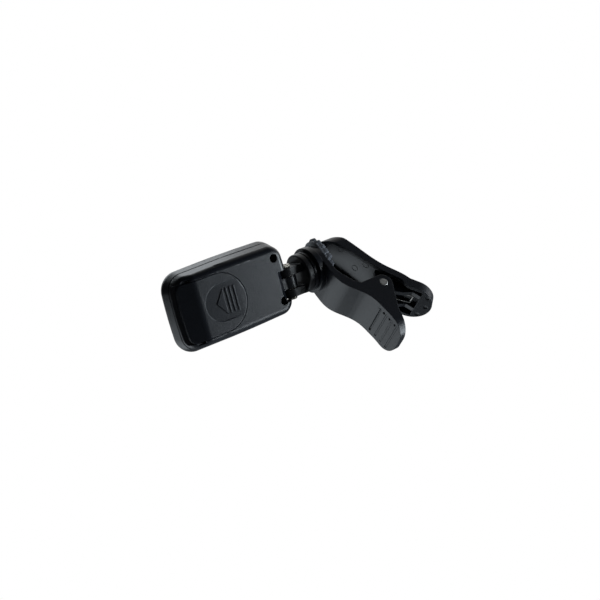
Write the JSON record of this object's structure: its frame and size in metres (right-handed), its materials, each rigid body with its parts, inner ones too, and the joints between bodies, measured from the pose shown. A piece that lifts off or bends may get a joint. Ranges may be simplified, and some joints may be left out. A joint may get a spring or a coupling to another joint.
{
  "type": "clip on tuner",
  "caption": "Clip-on instrument tuner: a flat rounded head with display, buttons and sliding battery door, on a tilting and swivelling sprung clip with a ribbed jaw pad.",
  "frame": {"origin": "where the swivel axis meets the gripping face of the jaw pad", "axes": "+X along the swivel axis from the head to the clip, square to the pad's gripping face; +Z along the hinge bolt, up; the head's back looks towards -Y"},
  "size_m": [0.1003, 0.042, 0.0537],
  "materials": {
    "housing_front": "fine satin moulding",
    "housing_rear": "fine satin moulding",
    "door": "fine satin moulding",
    "cell": "bright",
    "contact_positive": "bright",
    "contact_negative": "bright",
    "board": "solder mask",
    "chip": "matt",
    "switches": "matt",
    "piezo": "satin",
    "board_screws": "zinc plated",
    "window": "polished",
    "lcd": "polished",
    "diffuser": "milky",
    "elastomer": "matt",
    "power_button": "matt",
    "mode_button": "matt",
    "housing_screws": "blackened",
    "lug": "satin",
    "hinge_washers": "satin",
    "fork": "fine satin moulding",
    "bolt": "nickel plated",
    "nut": "nickel plated",
    "wave_washer": "spring steel",
    "retainer": "zinc plated",
    "swivel_screw": "zinc plated",
    "near_lever": "fine satin moulding",
    "pad": "matt",
    "pin": "bright",
    "far_lever": "fine satin moulding",
    "spring": "bright drawn wire"
  },
  "bodies": {
    "clip": {"near_lever": "near_lever", "jaw_pad": "pad", "pivot_pin": "pin", "torsion_spring": "spring"},
    "far_jaw": {"far_lever": "far_lever"},
    "fork": {"swivel_fork": "fork", "hinge_bolt": "bolt", "hinge_nut": "nut", "hinge_washers": "hinge_washers", "wave_washer": "wave_washer", "retainer_washer": "retainer", "swivel_screw": "swivel_screw"},
    "head": {"front_housing": "housing_front", "rear_cover": "housing_rear", "coin_cell": "cell", "battery_contact_positive": "contact_positive", "battery_contact_negative": "contact_negative", "circuit_board": "board", "controller_chip": "chip", "button_switches": "switches", "piezo_sensor": "piezo", "board_screws": "board_screws", "display_window": "window", "lcd_module": "lcd", "backlight_diffuser": "diffuser", "elastomer_strip": "elastomer", "housing_screws": "housing_screws", "hinge_lug": "lug"},
    "door": {"battery_door": "door"},
    "power": {"power_button": "power_button"},
    "mode": {"mode_button": "mode_button"}
  },
  "joints": [
    {"name": "clip_open", "type": "hinge", "parent": "clip", "child": "far_jaw", "pos_m": [0.0111, -0.01369, -0.01632], "axis": [0, 0.766, -0.6428], "range_deg": [0, 30], "stiffness_Nm_per_rad": 0.1, "springref_deg": -34.38, "deforming": ["torsion_spring"]},
    {"name": "swivel", "type": "hinge", "parent": "clip", "child": "fork", "pos_m": [0, 0, 0], "axis": [1, 0, 0], "continuous": true},
    {"name": "head_tilt", "type": "hinge", "parent": "fork", "child": "head", "pos_m": [-0.0181, 0, -0.0013], "axis": [0, 0, 1], "range_deg": [-60, 60]},
    {"name": "door_slide", "type": "slide", "parent": "head", "child": "door", "axis": [-1, 0, 0], "range_m": [0, 0.012]},
    {"name": "power_press", "type": "slide", "parent": "head", "child": "power", "axis": [0, -1, 0], "range_m": [0, 0.0003], "stiffness_N_per_m": 1000, "springref_m": -0.0002},
    {"name": "mode_press", "type": "slide", "parent": "head", "child": "mode", "axis": [0, -1, 0], "range_m": [0, 0.0003], "stiffness_N_per_m": 1000, "springref_m": -0.0002}
  ]
}
